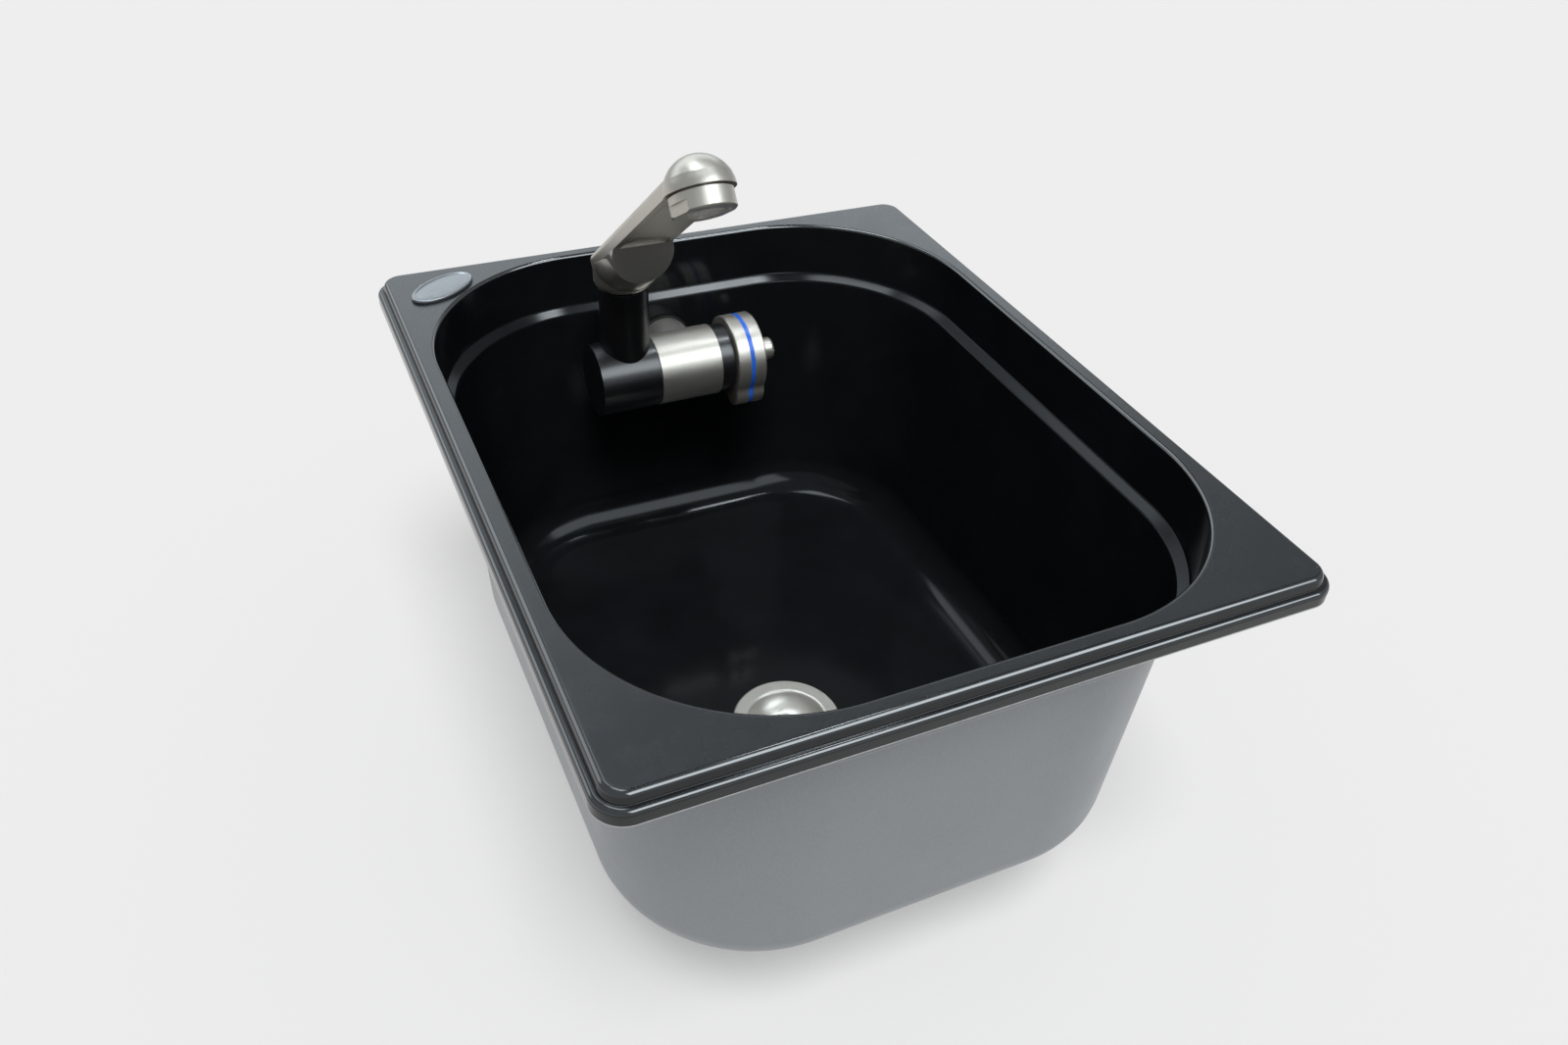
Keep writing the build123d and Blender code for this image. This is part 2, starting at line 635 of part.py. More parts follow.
def knob_ring():
    """The coloured ring let into the knob's edge."""
    return BARREL * Pos(0, 0, KNOB_LEFT) * (knob_band() & knob_blank())


def knob_screw():
    """The screw that holds the knob on its spindle."""
    seat = KNOB_LEFT + KNOB_GRIP_DEPTH + KNOB_WEB
    tip = KNOB_LEFT + KNOB_GRIP_DEPTH - KNOB_SCREW_LENGTH + END_GAP
    screw = rod(KNOB_SCREW_R, tip, seat) + rod(KNOB_SCREW_HEAD_R, seat, seat + KNOB_SCREW_HEAD_THICK)
    socket = extrude(RegularPolygon(KNOB_SCREW_R, 6), KNOB_SCREW_HEAD_THICK / 2)
    return BARREL * (screw - Pos(0, 0, seat + KNOB_SCREW_HEAD_THICK / 2) * socket)


def knob_cap():
    """The small round nub that closes the knob's screw hole."""
    seat = KNOB_RIGHT - KNOB_CAP_PLUG
    nub = rod(KNOB_CAP_R, seat, KNOB_RIGHT + KNOB_CAP_REACH)
    return BARREL * fillet(nub.faces().sort_by(Axis.Z)[-1].edges(), KNOB_CAP_R / 3)


def elbow():
    """The black elbow that folds: a barrel on the spigot and the post that carries the spout."""
    right = SLEEVE_LEFT - END_GAP
    body = BARREL * rod(ELBOW_R, ELBOW_LEFT, right)
    body += POST * rod(POST_R, BARREL_Z, POST_TOP)
    cap_seat = ELBOW_LEFT + FOLD_CAP_THICK
    nut_seat = cap_seat + END_GAP + FOLD_NUT_THICK + END_GAP
    body -= BARREL * rod(FOLD_CAP_R, ELBOW_LEFT, cap_seat)
    body -= BARREL * rod(FOLD_NUT_R + END_GAP, cap_seat, nut_seat)
    body -= BARREL * rod(FOLD_SPIGOT_R + RUNNING_FIT, nut_seat, right)
    stem_floor = NECK_BOTTOM - STEM_DROP - END_GAP
    body -= POST * rod(STEM_R + RUNNING_FIT, stem_floor, POST_TOP)
    body -= POST * rod(STEM_BORE_R, BARREL_Z, stem_floor)
    body -= stop_pin_bar()
    return body


def stop_pin_bar():
    """The round bar that crosses the post behind the stem and reaches into its groove."""
    reach = STEM_R - STEM_GROOVE_DEPTH + STOP_PIN_R + END_GAP
    half = math.sqrt(POST_R**2 - reach**2)
    along = Plane(
        origin=(POST_X - half, BARREL_Y + reach, NECK_BOTTOM - STEM_GROOVE_DROP),
        x_dir=(0, 1, 0),
        z_dir=(1, 0, 0),
    )
    return along * rod(STOP_PIN_R, 0, 2 * half)


def elbow_cap():
    """The disc that closes the elbow's open end."""
    return BARREL * rod(FOLD_CAP_R, ELBOW_LEFT, ELBOW_LEFT + FOLD_CAP_THICK)


def fold_nut():
    """The ring nut that keeps the elbow on the spigot."""
    left = ELBOW_LEFT + FOLD_CAP_THICK + END_GAP
    return BARREL * tube(FOLD_SPIGOT_R, FOLD_NUT_R, left, left + FOLD_NUT_THICK)


def fold_orings():
    """The two O-rings of the fold joint."""
    return Compound([BARREL * oring(FOLD_SPIGOT_R + RUNNING_FIT, ORING_R, x) for x in fold_seal_places()])


def stem_seal_places():
    """Where the two O-rings lie on the spout's stem."""
    return NECK_BOTTOM - STEM_GROOVE_DROP / 3, NECK_BOTTOM - STEM_GROOVE_DROP * 2 / 3


def spout_stem():
    """The hollow stem that turns in the post and is pressed into the spout."""
    stem = tube(STEM_BORE_R, STEM_R, NECK_BOTTOM - STEM_DROP, NECK_BOTTOM + STEM_SOCKET)
    half_groove = STOP_PIN_R + END_GAP
    groove_z = NECK_BOTTOM - STEM_GROOVE_DROP
    groove_r = STEM_R - STEM_GROOVE_DEPTH
    pin_half_angle = math.acos((groove_r + END_GAP) / STEM_R)
    groove_end_y = STEM_R * math.cos(pin_half_angle + math.radians(SWIVEL_EACH_WAY)) - END_GAP
    groove = tube(groove_r, STEM_R + 1, groove_z - half_groove, groove_z + half_groove)
    rear = Box(4 * STEM_R, 2 * STEM_R, 4 * half_groove, align=(Align.CENTER, Align.MIN, Align.CENTER))
    stem -= groove & Pos(0, groove_end_y, groove_z) * rear
    for height in stem_seal_places():
        stem -= oring_groove(STEM_R + RUNNING_FIT, ORING_R, height)
    return POST * stem


def stem_orings():
    """The two O-rings of the swivel joint."""
    return Compound([POST * oring(STEM_R + RUNNING_FIT, ORING_R, height) for height in stem_seal_places()])


def spout():
    """The brushed spout: a flat arm with a domed head, and a round knuckle over the post."""
    outline = make_hull((Circle(ARM_ROOT_R) + Pos(ARM_LENGTH, 0) * Circle(ARM_HEAD_R)).edges())
    arm = extrude(outline, ARM_THICK)
    arm = fillet(arm.faces().sort_by(Axis.Z)[-1].edges(), ARM_EDGE_R)
    dome = Sphere(HEAD_R, arc_size1=0, align=(Align.CENTER, Align.CENTER, Align.MIN))
    arm += Pos(ARM_LENGTH, 0, 0) * dome

    neck = rod(NECK_R, NECK_BOTTOM, NECK_BOTTOM + 2 * KNUCKLE_R)
    neck = fillet(neck.faces().sort_by(Axis.Z)[0].edges(), NECK_EDGE_R)
    knuckle = POST * neck
    ball_height = NECK_BOTTOM + KNUCKLE_LIFT + KNUCKLE_R
    knuckle += POST * Pos(0, -KNUCKLE_FORWARD, ball_height) * Sphere(KNUCKLE_R)
    chin = Plane(
        origin=(POST_X, BARREL_Y, NECK_BOTTOM + CHIN_LIFT),
        x_dir=(1, 0, 0),
        z_dir=(0, -1, 0),
    )
    knuckle += chin * rod(CHIN_R, KNUCKLE_FORWARD, CHIN_FORWARD)
    under_arm = Box(*[4 * ARM_LENGTH] * 3, align=(Align.CENTER, Align.CENTER, Align.MAX))
    body = ARM * arm + (knuckle & ARM * under_arm)

    channel_end = ARM_LENGTH - HEAD_R
    channel = Box(channel_end, CHANNEL_WIDTH, CHANNEL_DEPTH, align=(Align.MIN, Align.CENTER, Align.MIN))
    body -= ARM * Pos(0, 0, UNDERPLATE_THICK) * channel
    body -= ARM * underplate_blank(0)
    bore_top = AERATOR_THREAD_LENGTH + AERATOR_SEAL_THICK
    chamber_top = bore_top + AERATOR_CHAMBER_HEIGHT
    body -= HEAD * rod(AERATOR_THREAD_R, 0, bore_top)
    body -= HEAD * rod(AERATOR_CHAMBER_R, bore_top, chamber_top)
    duct_start = Vector(-HEAD_R - HEAD_DUCT_R, 0, UNDERPLATE_THICK + CHANNEL_DEPTH / 2)
    duct_end = Vector(-AERATOR_CHAMBER_R + HEAD_DUCT_R, 0, chamber_top - HEAD_DUCT_R / 2)
    duct = Plane(origin=duct_start, x_dir=(0, 1, 0), z_dir=duct_end - duct_start)
    body -= HEAD * (duct * rod(HEAD_DUCT_R, 0, (duct_end - duct_start).length))
    body -= POST * rod(STEM_R, NECK_BOTTOM, NECK_BOTTOM + STEM_SOCKET)
    channel_top = ARM_LIP_OVER_POST + POST_TOP + UNDERPLATE_THICK + CHANNEL_DEPTH / 2
    return body - POST * rod(STEM_BORE_R, NECK_BOTTOM, channel_top)


def underplate_blank(clear):
    """The strip let into the arm's underside between the chin and the head."""
    length = ARM_LENGTH - UNDERPLATE_END - CHIN_X - 2 * clear
    width = UNDERPLATE_WIDTH - 2 * clear
    strip = Box(length, width, UNDERPLATE_THICK, align=(Align.MIN, Align.CENTER, Align.MIN))
    return Pos(CHIN_X + clear, 0, 0) * strip


def spout_underplate():
    """The plate that closes the arm's water channel, with a half-moon pocket by the chin."""
    pocket = Pos(CHIN_X, 0, 0) * rod(UNDERPLATE_POCKET_R, 0, UNDERPLATE_POCKET_DEPTH)
    return ARM * (underplate_blank(THREAD_FIT) - pocket)


def aerator_housing():
    """The round aerator screwed up into the head, with two spanner flats."""
    top = -AERATOR_SHADOW_GAP
    low = top - AERATOR_HEIGHT
    shell = turned(
        (AERATOR_BORE_R - AERATOR_LEDGE, low),
        (AERATOR_R - AERATOR_EDGE_R, low),
        (AERATOR_R, low + AERATOR_EDGE_R),
        (AERATOR_R, top),
        (AERATOR_THREAD_R, top),
        (AERATOR_THREAD_R, AERATOR_THREAD_LENGTH),
        (AERATOR_BORE_R, AERATOR_THREAD_LENGTH),
        (AERATOR_BORE_R, low + INSERT_RECESS),
        (AERATOR_BORE_R - AERATOR_LEDGE, low + INSERT_RECESS),
    )
    for side in (-90 + AERATOR_FLAT_TURN, 90 + AERATOR_FLAT_TURN):
        width = 2 * AERATOR_R
        cutter = Box(AERATOR_R, width, AERATOR_FLAT_HEIGHT, align=(Align.MIN, Align.CENTER, Align.MIN))
        shell -= Rot(0, 0, side) * Pos(AERATOR_R - AERATOR_FLAT_DEPTH, 0, low) * cutter
    return HEAD * shell


def aerator_insert():
    """The pierced disc that breaks up the jet."""
    low = -AERATOR_SHADOW_GAP - AERATOR_HEIGHT + INSERT_RECESS
    disc = rod(AERATOR_BORE_R, low, low + INSERT_THICK)
    for ring in range(1, INSERT_RING_COUNT + 1):
        for place in PolarLocations(ring * INSERT_RING_STEP, 4 * ring):
            disc -= place * rod(INSERT_HOLE_R, low, low + INSERT_THICK)
    return HEAD * disc


def aerator_seal():
    """The washer that the aerator screws up against."""
    low = AERATOR_THREAD_LENGTH
    return HEAD * tube(AERATOR_BORE_R, AERATOR_THREAD_R, low, low + AERATOR_SEAL_THICK)


outer_seal_low = WALL_NORMAL_THICK
washer_low = WALL_NORMAL_THICK + WALL_SEAL_THICK
nodes = {
    "basin": basin(),
    "oval_plate": oval_plate(),
    "drain_strainer": drain_strainer(),
    "drain_seal": drain_seal(),
    "drain_gasket": drain_gasket(),
    "drain_body": drain_body(),
    "drain_insert": drain_insert(),
    "drain_screw": drain_screw(),
    "wall_stud": wall_stud(),
    "inner_wall_seal": wall_ring(WALL_SEAL_R, -WALL_SEAL_THICK, WALL_SEAL_THICK),
    "outer_wall_seal": wall_ring(WALL_SEAL_R, outer_seal_low, WALL_SEAL_THICK),
    "backing_washer": wall_ring(WASHER_R, washer_low, WASHER_THICK),
    "lock_nut": lock_nut(),
    "valve_body": valve_body(),
    "body_sleeve": body_sleeve(),
    "collar_ring": collar_ring(),
    "cartridge_shell": cartridge_shell(),
    "cartridge_seal": cartridge_seal(),
    "fixed_disc": valve_disc(DISC_RIGHT - DISC_THICK, 0, 0),
    "turning_disc": valve_disc(DISC_RIGHT, END_GAP, 90),
    "spindle": spindle(),
    "spindle_oring": spindle_oring(),
    "knob": knob(),
    "knob_ring": knob_ring(),
    "knob_screw": knob_screw(),
    "knob_cap": knob_cap(),
    "elbow": elbow(),
    "elbow_cap": elbow_cap(),
    "swivel_stop_pin": stop_pin_bar(),
    "fold_nut": fold_nut(),
    "fold_orings": fold_orings(),
    "spout_stem": spout_stem(),
    "stem_orings": stem_orings(),
    "spout": spout(),
    "spout_underplate": spout_underplate(),
    "aerator_housing": aerator_housing(),
    "aerator_insert": aerator_insert(),
    "aerator_seal": aerator_seal(),
}

os.makedirs("parts", exist_ok=True)
for name, shape in nodes.items():
    export_step(shape, f"parts/{name}.step")
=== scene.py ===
import math
from collections import namedtuple

import bmesh
import bpy
from bpy.props import FloatProperty, FloatVectorProperty, IntProperty, PointerProperty
from mathutils import Matrix, Vector


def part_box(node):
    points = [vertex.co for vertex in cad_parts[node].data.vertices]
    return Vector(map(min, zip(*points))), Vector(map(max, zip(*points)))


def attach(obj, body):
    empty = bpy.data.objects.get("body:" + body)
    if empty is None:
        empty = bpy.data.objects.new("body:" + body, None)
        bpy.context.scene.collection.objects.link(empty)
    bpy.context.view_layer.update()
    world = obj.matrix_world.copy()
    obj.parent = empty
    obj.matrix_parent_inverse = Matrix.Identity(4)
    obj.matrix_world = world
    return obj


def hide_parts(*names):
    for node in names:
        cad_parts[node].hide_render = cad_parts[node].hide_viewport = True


bl_info = {
    "name": "Camping sink",
    "version": (1, 0, 0),
    "blender": (4, 5, 0),
    "location": "View3D > Sidebar > Camping sink",
    "description": "Dresses the camping sink: basin, fold-down tap, waste fitting and a studio stage",
    "category": "Object",
}

MM = 0.001

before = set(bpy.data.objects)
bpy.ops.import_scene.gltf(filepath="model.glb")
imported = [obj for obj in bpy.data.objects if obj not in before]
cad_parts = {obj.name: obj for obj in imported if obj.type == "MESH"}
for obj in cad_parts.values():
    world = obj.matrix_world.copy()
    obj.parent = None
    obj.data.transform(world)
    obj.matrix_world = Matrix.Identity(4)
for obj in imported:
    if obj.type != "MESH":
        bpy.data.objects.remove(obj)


# Settings

def srgb(code):
    """The three linear channels of an sRGB hex code."""
    channels = [int(code[place : place + 2], 16) / 255 for place in (1, 3, 5)]
    return [part / 12.92 if part <= 0.04045 else ((part + 0.055) / 1.055) ** 2.4 for part in channels]


def length(label, text, millimetres):
    """A length setting, given in millimetres and kept in metres."""
    return FloatProperty(name=label, description=text, default=millimetres * MM, unit="LENGTH")


def angle(label, text, degrees):
    """An angle setting, given in degrees."""
    return FloatProperty(name=label, description=text, default=math.radians(degrees), subtype="ANGLE")


def share(label, text, part):
    """A setting between nothing and the whole."""
    return FloatProperty(name=label, description=text, default=part, min=0, max=1, subtype="FACTOR")


def count(label, text, number):
    """A whole number of facets."""
    return IntProperty(name=label, description=text, default=number, min=1)


def colour(label, text, code):
    """A colour setting, given as an sRGB hex code and kept linear."""
    return FloatVectorProperty(
        name=label, description=text, default=srgb(code), min=0, max=1, subtype="COLOR"
    )


class BasinSettings(bpy.types.PropertyGroup):
    """Sizes of the pressed basin that its box doesn't give."""

    sheet: length("Sheet", "Thickness of the pressed sheet", 1.2)
    rim_corner: length("Rim corner", "Radius of the rim's corners", 11)
    step_drop: length("Step drop", "How far the rim's ledge lies below the flange", 4)
    step_inset: length("Step inset", "Width of the ledge and its slope", 3.5)
    step_slope: length("Step slope", "Width of the slope down to the ledge", 1)
    step_round: length("Step round", "Radius of the bend from the flange down the step", 2.4)
    edge_round: length("Edge round", "Radius of the bend from the ledge to the skirt", 2.1)
    crease_round: length("Crease round", "Radius of the bend at the foot of the step", 0.3)
    # The band's pale steel finish is a painted highlight line along the skirt's bottom edge.
    highlight_band: length("Trim band", "Height of the thinly coated line along the skirt's trimmed edge", 0.5)
    opening_width: length("Opening width", "Width of the bowl's mouth", 243)
    opening_length: length("Opening length", "Length of the bowl's mouth", 304)
    opening_corner: length("Opening corner", "Corner radius of the bowl's mouth", 75)
    lip_round: length("Lip round", "Radius of the bend from the flange into the bowl", 1.6)
    shoulder_depth: length("Shoulder depth", "Depth of the stacking shoulder below the flange", 25)
    shoulder_drop: length("Shoulder drop", "Fall of the shoulder's slope", 2.5)
    shoulder_step: length("Shoulder step", "Width of the shoulder", 4.5)
    shoulder_round: length("Shoulder round", "Radius of the shoulder's bends", 1.2)
    upper_taper: length("Upper taper", "Draw of the wall above the shoulder", 1)
    lower_taper: length("Lower taper", "Draw of the wall below the shoulder", 7.5)
    floor_round: length("Floor round", "Radius of the bend from wall to floor", 18)
    drain_hole: length("Drain hole", "Radius of the hole for the waste", 20.4)
    floor_margin: length("Floor margin", "Flat floor kept inside the bend", 3)
    corner_steps: count("Corner steps", "Facets in each corner", 32)
    bend_steps: count("Bend steps", "Facets in each bend", 8)


class PlateSettings(bpy.types.PropertyGroup):
    """Sizes of the blank oval plate."""

    long_side: length("Length", "Length of the oval", 33)
    short_side: length("Width", "Width of the oval", 17)
    turn: angle("Turn", "Turn of the oval on the flange", 33)
    edge_round: length("Edge round", "Radius of the border's outer edge", 0.72)
    border: length("Border", "Width of the raised border", 1.5)
    sink: length("Field depth", "How far the field lies below the border", 0.35)
    crown: length("Crown", "How far the middle of the field swells up", 0.3)
    facets: count("Facets", "Facets round the oval", 96)
    edge_steps: count("Edge steps", "Facets over the rounded edge", 4)
    field_steps: count("Field steps", "Facets from the border to the middle of the field", 8)


class FinishSettings(bpy.types.PropertyGroup):
    """The lighter tone of each finish, which the finish's own pattern darkens in places."""

    bowl: colour("Bowl", "Gloss enamel of the bowl", "#16191B")
    flange: colour("Flange", "Satin enamel of the flange", "#212529")
    rim: colour("Rim", "Gloss enamel of the stepped rim and its bends", "#16191B")
    # This pale steel is a painted highlight line along the skirt's bottom edge.
    trim: colour("Trimmed edge", "Steel along the skirt's trimmed edge", "#C4C6C6")
    back: colour("Back", "Grey coat on the back of the sheet", "#6E757B")
    plate: colour("Oval plate", "Satin aluminium of the oval plate", "#9A9EA1")
    waste: colour("Waste", "Turned steel of the strainer and its screw", "#D6D5CE")
    outlet: colour("Outlet", "Plastic of the outlet body", "#141416")
    nickel: colour("Brushed nickel", "Plating of the sleeve, the knob and the aerator housing", "#C9C4BB")
    satin_nickel: colour("Satin nickel", "Plating of the spout and its underside plate", "#C6C1B8")
    steel: colour("Steel", "Wall stud, washer and small fixings", "#C6C4BE")
    elbow: colour("Elbow", "Plastic of the elbow, its cap and the collar", "#161618")
    ring: colour("Ring", "Plastic of the knob's ring", "#2A70EA")
    insert: colour("Insert", "Plastic of the aerator insert and the cartridge shell", "#D6D5D0")
    rubber: colour("Rubber", "Seals, O-rings and gaskets", "#1C1C1C")
    brass: colour("Brass", "Valve body, spindle, stem and nuts", "#C9A65C")
    ceramic: colour("Ceramic", "Discs of the valve", "#E6E3DA")


class StageSettings(bpy.types.PropertyGroup):
    """Camera, floor and light."""

    turn: angle("Turn", "Camera's turn about the sink, from straight in front towards its left", 26.709)
    height: angle("Height", "Camera's angle above the horizon", 38.033)
    roll: angle("Roll", "Camera's tilt about its own axis", 3.625)
    distance: length("Distance", "Camera's distance from its target", 500.673)
    target: FloatVectorProperty(
        name="Target",
        description="Point that the camera looks at",
        default=(-11.522 * MM, -20.629 * MM, -30 * MM),
        subtype="XYZ_LENGTH",
        unit="LENGTH",
    )
    lens: FloatProperty(
        name="Lens",
        description="Focal length on a frame 36 mm wide",
        default=28.923,
        unit="CAMERA",
    )
    floor_size: length("Floor size", "Side of the pale floor", 8000)
    floor_gap: length("Floor gap", "Gap between the waste's outlet and the floor", 0.5)
    floor_glow: share("Floor glow", "Share of the floor's tone that shadow can't darken", 0.36)
    backdrop: colour("Backdrop", "Tone of the floor and of the background", "#EEEEEE")
    soft_light: share("Soft light", "Share of the light that comes from all round", 0.35)
    room_light: share("Room light", "Brightness of the room in reflections, between the panels", 0.45)
    studio_tint: colour("Studio tint", "Tint of the room and the panels in reflections", "#EBF4FA")
    lamp_tilt: angle("Lamp tilt", "Lean of the overhead lamp towards the front", 25)
    lamp_turn: angle("Lamp turn", "Turn of the overhead lamp from the front towards the left", 16)
    lamp_spread: angle("Lamp spread", "Width of the overhead lamp, which softens the shadow", 24)


# Meshes

# Points that are closer together than this are one point.
WELD = 0.01 * MM
# Flat sheet that is kept on a wire's end, in radii of the bend beside it.
FLAT_BEYOND_BEND = 1.2


def rounded_wire(bm, points, rounds, steps):
    """Draws a wire through (reach, height) points and bevels the corners in rounds to their radii."""
    places = [Vector((reach, 0, height)) for reach, height in points]
    verts = [bm.verts.new(place) for place in places]
    for pair in zip(verts, verts[1:]):
        bm.edges.new(pair)
    for index, radius in rounds.items():
        before = places[index - 1] - places[index]
        after = places[index + 1] - places[index]
        bmesh.ops.bevel(
            bm,
            geom=[verts[index]],
            offset=radius / math.tan(before.angle(after) / 2),
            offset_type="OFFSET",
            segments=steps,
            profile=0.5,
            affect="VERTICES",
            material=-1,
        )


def extruded(bm, edges):
    """Extrudes the edges, and gives the new verts and the edges that join them."""
    drawn = bmesh.ops.extrude_edge_only(bm, edges=edges)["geom"]
    verts = [item for item in drawn if isinstance(item, bmesh.types.BMVert)]
    ends = set(verts)
    lines = [item for item in drawn if isinstance(item, bmesh.types.BMEdge)]
    return verts, [line for line in lines if ends.issuperset(line.verts)]


def carry_round(bm, half_width, half_length, steps, slot):
    """Carries the loose wire round a rounded rectangle: four times a quarter turn and a straight run."""
    old_faces = set(bm.faces)
    edges = [edge for edge in bm.edges if edge.is_wire]
    verts = list({vert for edge in edges for vert in edge.verts})
    centre = Vector((half_width, half_length, 0))
    bmesh.ops.translate(bm, verts=verts, vec=centre)
    for run in ((-half_width, 0, 0), (0, -half_length, 0), (half_width, 0, 0), (0, half_length, 0)):
        turned = bmesh.ops.spin(
            bm,
            geom=verts + edges,
            cent=centre,
            axis=(0, 0, 1),
            angle=math.pi / 2,
            steps=steps,
            use_duplicate=False,
        )
        last = [item for item in turned["geom_last"] if isinstance(item, bmesh.types.BMEdge)]
        verts, edges = extruded(bm, last)
        step = 2 * Vector(run)
        bmesh.ops.translate(bm, verts=verts, vec=step)
        centre += step
    bmesh.ops.remove_doubles(bm, verts=bm.verts[:], dist=WELD)
    for face in bm.faces:
        if face not in old_faces:
            face.material_index = slot


def stacked_rings(bm, half_length, half_width, profile, facets):
    """A closed oval cap: rings drawn in and lifted by the profile's (inset, height) steps."""
    bmesh.ops.create_circle(bm, cap_ends=True, segments=facets, radius=1.0)
    bmesh.ops.scale(bm, vec=(half_length, half_width, 1), verts=bm.verts[:])
    ring = bm.edges[:]
    for (inset, height), (next_inset, next_height) in zip(profile, profile[1:]):
        verts, ring = extruded(bm, ring)
        along = (half_length - next_inset) / (half_length - inset)
        across = (half_width - next_inset) / (half_width - inset)
        bmesh.ops.scale(bm, vec=(along, across, 1), verts=verts)
        bmesh.ops.translate(bm, verts=verts, vec=(0, 0, next_height - height))
    bmesh.ops.edgeloop_fill(bm, edges=ring)
    bmesh.ops.recalc_face_normals(bm, faces=bm.faces[:])


def open_edges(bm, height):
    """The edges at that height that have a face on one side only."""
    return [
        edge
        for edge in bm.edges
        if edge.is_boundary and all(abs(vert.co.z - height) < WELD for vert in edge.verts)
    ]


def new_object(name, data):
    """An object of the scene, at the origin."""
    made = bpy.data.objects.new(name, data)
    bpy.context.scene.collection.objects.link(made)
    return made


def new_mesh(bm, name, materials):
    """The mesh as data that objects can hold, with its materials."""
    mesh = bpy.data.meshes.new(name)
    bm.to_mesh(mesh)
    bm.free()
    for material in materials:
        mesh.materials.append(material)
    return mesh


def finish_piece(bm, name, body, slot, materials, *nodes):
    """Makes a smooth piece that rides on its body and stands for its CAD nodes."""
    for face in bm.faces:
        face.smooth = True
    piece = new_object(name, new_mesh(bm, name, materials))
    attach(piece, body)
    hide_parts(*nodes)
    return piece


def dress(material, *names):
    """Gives the CAD nodes of those names one finish."""
    for name in names:
        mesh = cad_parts[name].data
        mesh.materials.clear()
        mesh.materials.append(material)


# Finishes

# Most of a noise texture's values lie in this span.
NOISE_SPAN = (0.3, 0.7)
# Distance between the rings of a wave texture at scale 1.
WAVE_PITCH = math.pi / 10
# Radius by which the light turns over the edges of a worn or moulded piece.
WORN_EDGE = 0.25 * MM
# Places of the two colours among a mix node's inputs, and of their mixture among its outputs.
MIX_LOW, MIX_HIGH, MIX_RESULT = 6, 7, 2


def add(tree, kind, *inputs, settings=None, places=None, **named):
    """Adds a node with its inputs in order, by place and by name, each a value or a socket to link."""
    node = tree.nodes.new("ShaderNode" + kind)
    for name, value in (settings or {}).items():
        setattr(node, name, value)
    by_name = {name.replace("_", " "): value for name, value in named.items()}
    for key, value in [*enumerate(inputs), *(places or {}).items(), *by_name.items()]:
        socket = node.inputs[key]
        if isinstance(value, bpy.types.NodeSocket):
            tree.links.new(value, socket)
        elif value is not None:
            socket.default_value = value
    return node


def new_finish(name):
    """An empty material and its node tree."""
    material = bpy.data.materials.new(name)
    material.use_nodes = True
    material.node_tree.nodes.clear()
    return material, material.node_tree


def grain(tree, size, stretch=(1, 1, 1), detail=3.0, turn=(0, 0, 0)):
    """Noise whose grains measure size metres, times the stretch along each axis."""
    coordinates = add(tree, "TexCoord").outputs["Object"]
    placed = add(
        tree,
        "Mapping",
        coordinates,
        settings={"vector_type": "TEXTURE"},
        Rotation=turn,
        Scale=[size * side for side in stretch],
    )
    return add(tree, "TexNoise", placed.outputs[0], Scale=1.0, Detail=detail, Roughness=0.6).outputs[0]


def surface(tree, tone, depth, tint, rough, spread, haze, relief, rise, edge=0.0, **extra):
    """The whole surface from its patterns: tint darkens the tone down to its depth, haze varies the
    roughness by the spread, and relief lifts the surface by rise metres."""
    lightness = add(tree, "MapRange", tint, *NOISE_SPAN, 0.0, 1.0)
    base = add(
        tree,
        "Mix",
        lightness.outputs[0],
        settings={"data_type": "RGBA"},
        places={MIX_LOW: [*(depth * part for part in tone), 1.0], MIX_HIGH: [*tone, 1.0]},
    )
    roughness = add(tree, "MapRange", haze, *NOISE_SPAN, rough - spread, rough + spread)
    softened = add(tree, "Bevel", edge, settings={"samples": 4}).outputs[0] if edge else None
    normal = add(tree, "Bump", Strength=1.0, Distance=rise, Height=relief, Normal=softened)
    shader = add(
        tree,
        "BsdfPrincipled",
        Base_Color=base.outputs[MIX_RESULT],
        Roughness=roughness.outputs[0],
        Normal=normal.outputs[0],
        **extra,
    )
    add(tree, "OutputMaterial", shader.outputs[0])


def gloss_coat(tone):
    """Enamel sprayed into the bowl and fired: a wet black whose slow waves bend the reflections."""
    material, tree = new_finish("gloss black enamel")
    waves = grain(tree, 9 * MM, detail=1.0)
    haze = grain(tree, 30 * MM)
    surface(
        tree,
        tone,
        depth=0.72,
        tint=haze,
        rough=0.125,
        spread=0.015,
        haze=haze,
        relief=waves,
        rise=0.003 * MM,
        Specular_IOR_Level=0.15,
    )
    return material


def satin_coat(tone):
    """Enamel sprayed dry on the flange: a fine tooth that greys the black at a low angle."""
    material, tree = new_finish("satin black enamel")
    # The real tooth is about 0.2 mm across and is drawn at 0.7 mm to show at this distance.
    tooth = grain(tree, 0.7 * MM, detail=2.0)
    haze = grain(tree, 25 * MM)
    surface(
        tree,
        tone,
        depth=0.47,
        tint=tooth,
        rough=0.27,
        spread=0.03,
        haze=haze,
        relief=tooth,
        rise=0.006 * MM,
        IOR=1.6,
    )
    return material


def rim_coat(place, tone, index):
    """Enamel that has flowed over the stepped rim: a gloss that draws fine bright lines along it."""
    material, tree = new_finish("gloss black enamel on the " + place)
    waves = grain(tree, 6 * MM, detail=1.0)
    surface(
        tree,
        tone,
        depth=0.635,
        tint=waves,
        rough=0.115,
        spread=0.015,
        haze=waves,
        relief=waves,
        rise=0.001 * MM,
        IOR=index,
    )
    return material


